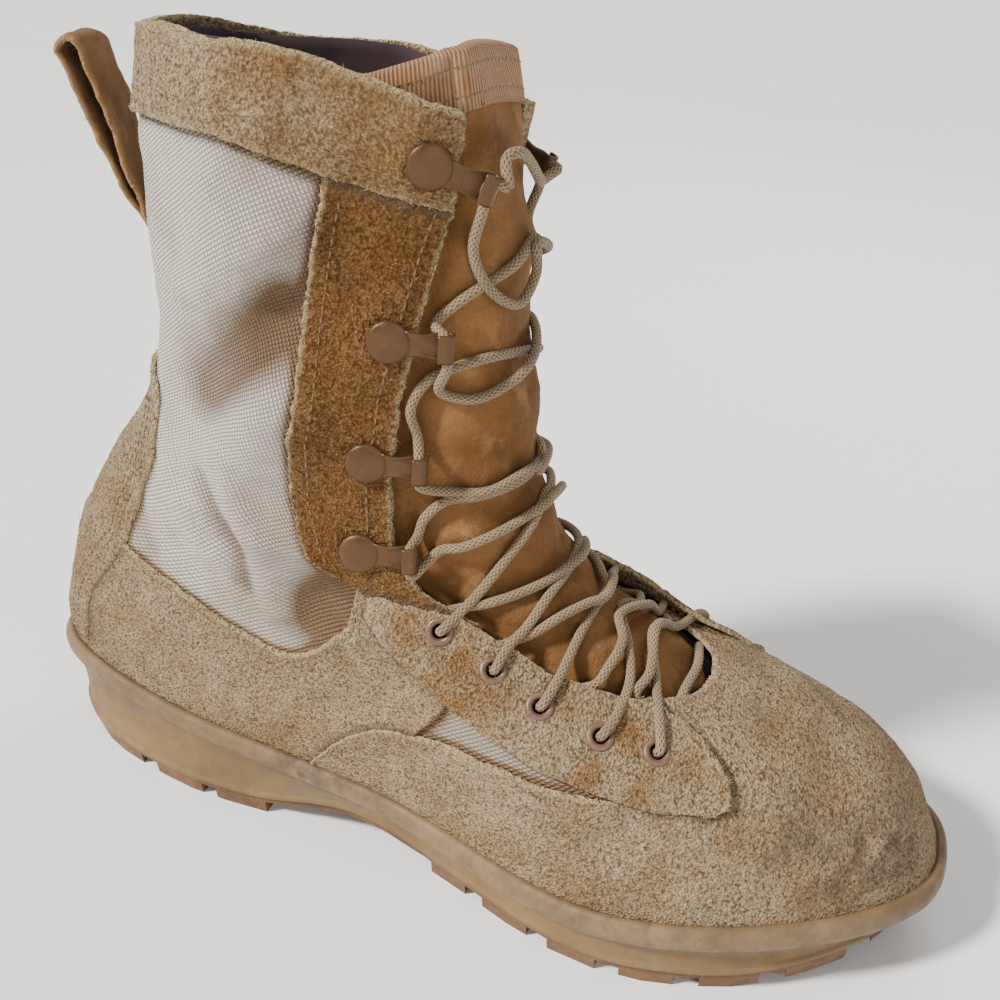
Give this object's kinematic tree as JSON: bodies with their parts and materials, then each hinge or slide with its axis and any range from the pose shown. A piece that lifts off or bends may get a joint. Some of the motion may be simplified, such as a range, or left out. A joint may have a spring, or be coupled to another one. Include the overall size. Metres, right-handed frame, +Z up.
{
  "type": "combat boot",
  "caption": "Right combat boot with a hollow suede and nylon upper, padded tongue, laced throat with eyelets and speed hooks, and a lugged sole.",
  "frame": {"origin": "centre of the boot's outline on the floor that it stands on", "axes": "+X towards the toe, +Y towards the inner side of the foot, +Z up"},
  "size_m": [0.3243, 0.1074, 0.2573],
  "materials": {
    "outsole_rubber": "matt brown rubber tread, worn at the lugs",
    "midsole_rubber": "moulded olive-tan sidewall with a paler rounded bead",
    "lining_cloth": "dark lining and footbed cloth",
    "suede": "rough-out tan suede with a worn, raised nap",
    "nylon_cloth": "coarse basket-weave nylon, cream",
    "nubuck": "smooth brown nubuck",
    "hook_metal": "copper-brown painted metal, chipped at the rims",
    "lace_cord": "khaki braided cord"
  },
  "bodies": {
    "root": {"outsole": "outsole_rubber", "midsole": "midsole_rubber", "insole": "lining_cloth", "upper": "suede", "tongue": "nubuck", "backstay": "suede", "collar_band": "suede", "pull_loop": "nubuck", "eyelet_lateral_1": "hook_metal", "eyelet_lateral_2": "hook_metal", "eyelet_lateral_3": "hook_metal", "eyelet_lateral_4": "hook_metal", "eyelet_lateral_5": "hook_metal", "eyelet_medial_1": "hook_metal", "eyelet_medial_2": "hook_metal", "eyelet_medial_3": "hook_metal", "eyelet_medial_4": "hook_metal", "eyelet_medial_5": "hook_metal", "eyelet_stay_lateral": "suede", "eyelet_stay_medial": "suede", "hook_lateral_1": "hook_metal", "hook_lateral_2": "hook_metal", "hook_lateral_3": "hook_metal", "hook_lateral_4": "hook_metal", "hook_medial_1": "hook_metal", "hook_medial_2": "hook_metal", "hook_medial_3": "hook_metal", "hook_medial_4": "hook_metal", "hook_stay_lateral": "suede", "hook_stay_medial": "suede", "lace_bar": "lace_cord", "lace_crossing_1": "lace_cord", "lace_crossing_2": "lace_cord", "lace_crossing_3": "lace_cord", "lace_crossing_4": "lace_cord", "lace_crossing_5": "lace_cord", "lace_crossing_6": "lace_cord", "lace_crossing_7": "lace_cord", "lace_crossing_8": "lace_cord", "lace_end": "lace_cord"}
  },
  "joints": []
}
